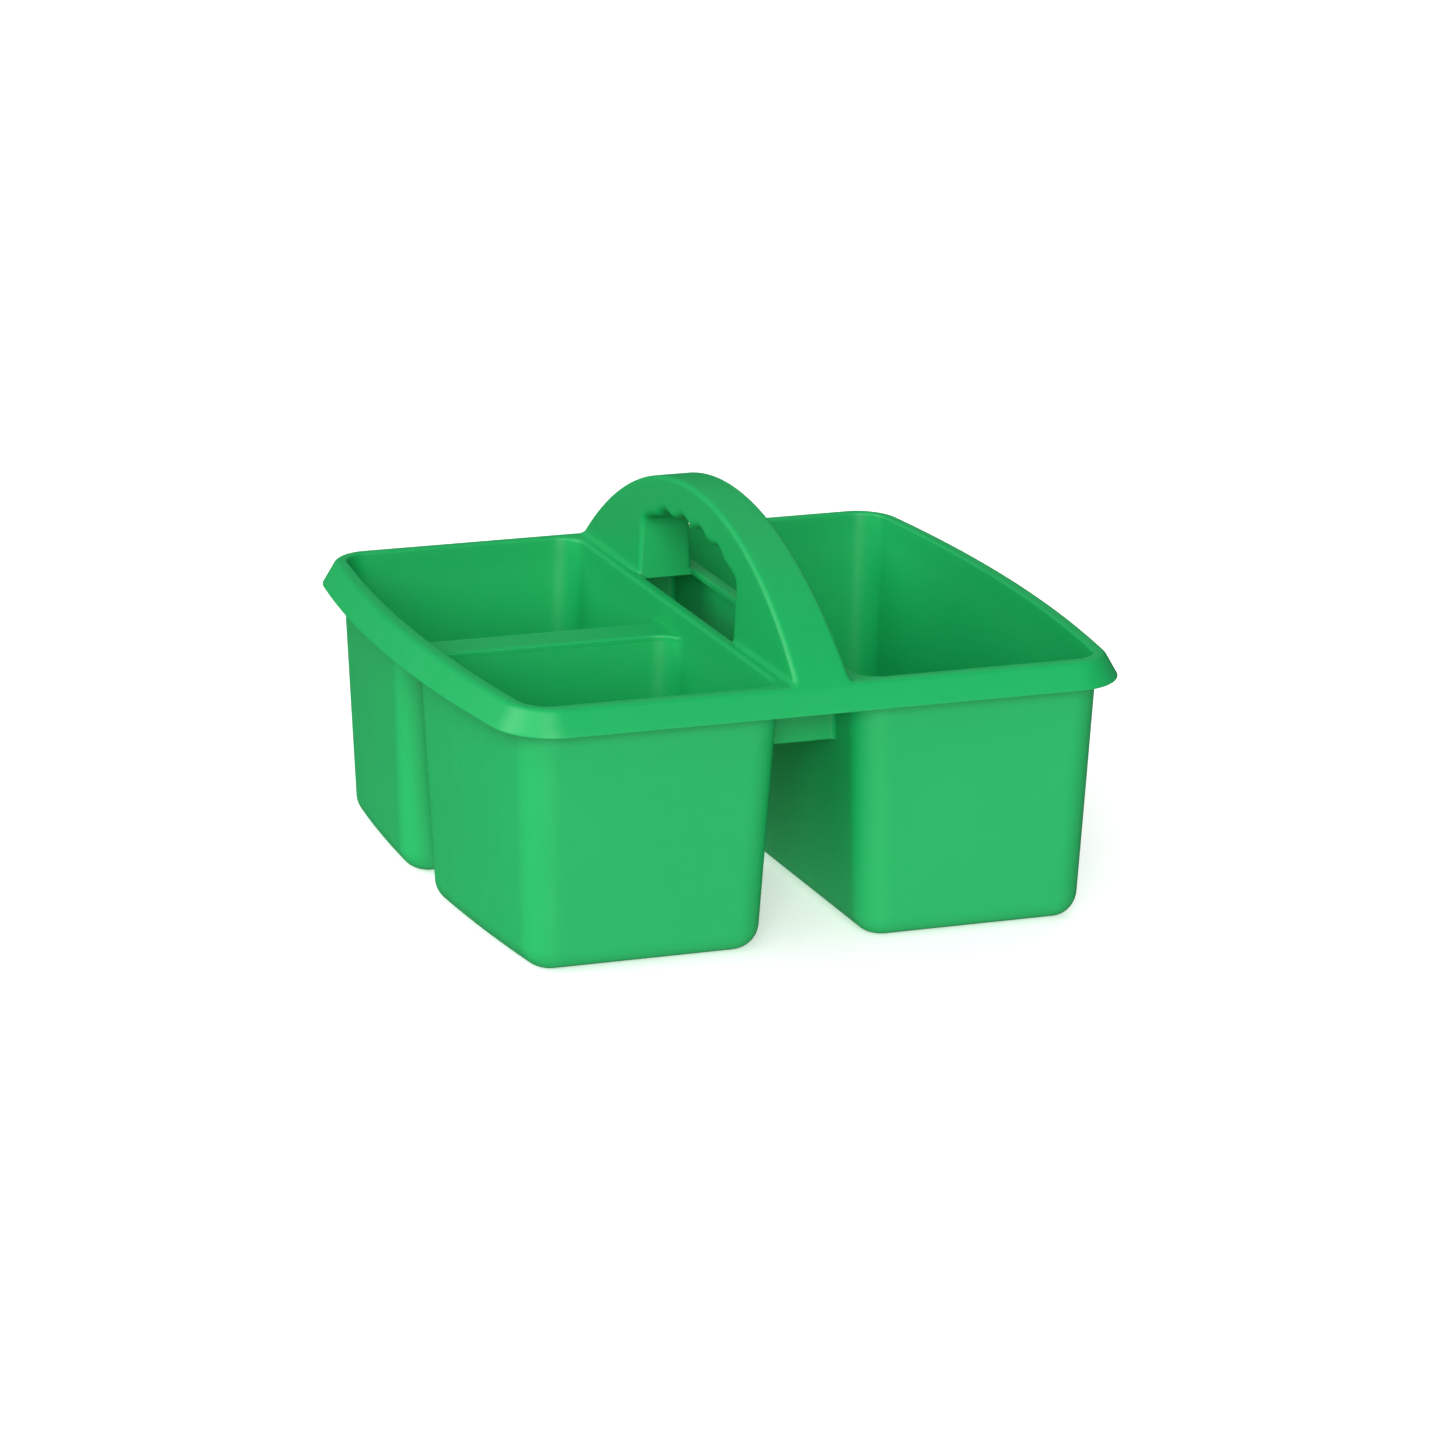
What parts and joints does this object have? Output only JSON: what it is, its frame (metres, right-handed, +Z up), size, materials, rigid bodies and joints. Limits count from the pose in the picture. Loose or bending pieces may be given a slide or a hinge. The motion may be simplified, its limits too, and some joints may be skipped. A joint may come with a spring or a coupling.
{
  "type": "cleaning caddy",
  "caption": "Open-top plastic cleaning caddy: drafted bins hung from a flared rim, with a fixed arched carry handle over a central channel.",
  "frame": {"origin": "on the floor, under the centre of the rim; the three bins rest on Z = 0", "axes": "+X towards the wide full-depth bin, -Y towards the front, +Z up; the handle's arch runs along Y"},
  "size_m": [0.237, 0.228, 0.1369],
  "materials": {
    "moulded_plastic": "satin injection-moulded polypropylene, mid green, fine even grain"
  },
  "bodies": {
    "root": {"front_left_bin": "moulded_plastic", "rear_left_bin": "moulded_plastic", "right_bin": "moulded_plastic", "rim_skirt": "moulded_plastic", "bin_bridge": "moulded_plastic", "left_handle_ledge": "moulded_plastic", "right_handle_ledge": "moulded_plastic", "front_channel_panel": "moulded_plastic", "rear_channel_panel": "moulded_plastic", "handle_grip": "moulded_plastic", "front_handle_leg": "moulded_plastic", "rear_handle_leg": "moulded_plastic"}
  },
  "joints": []
}
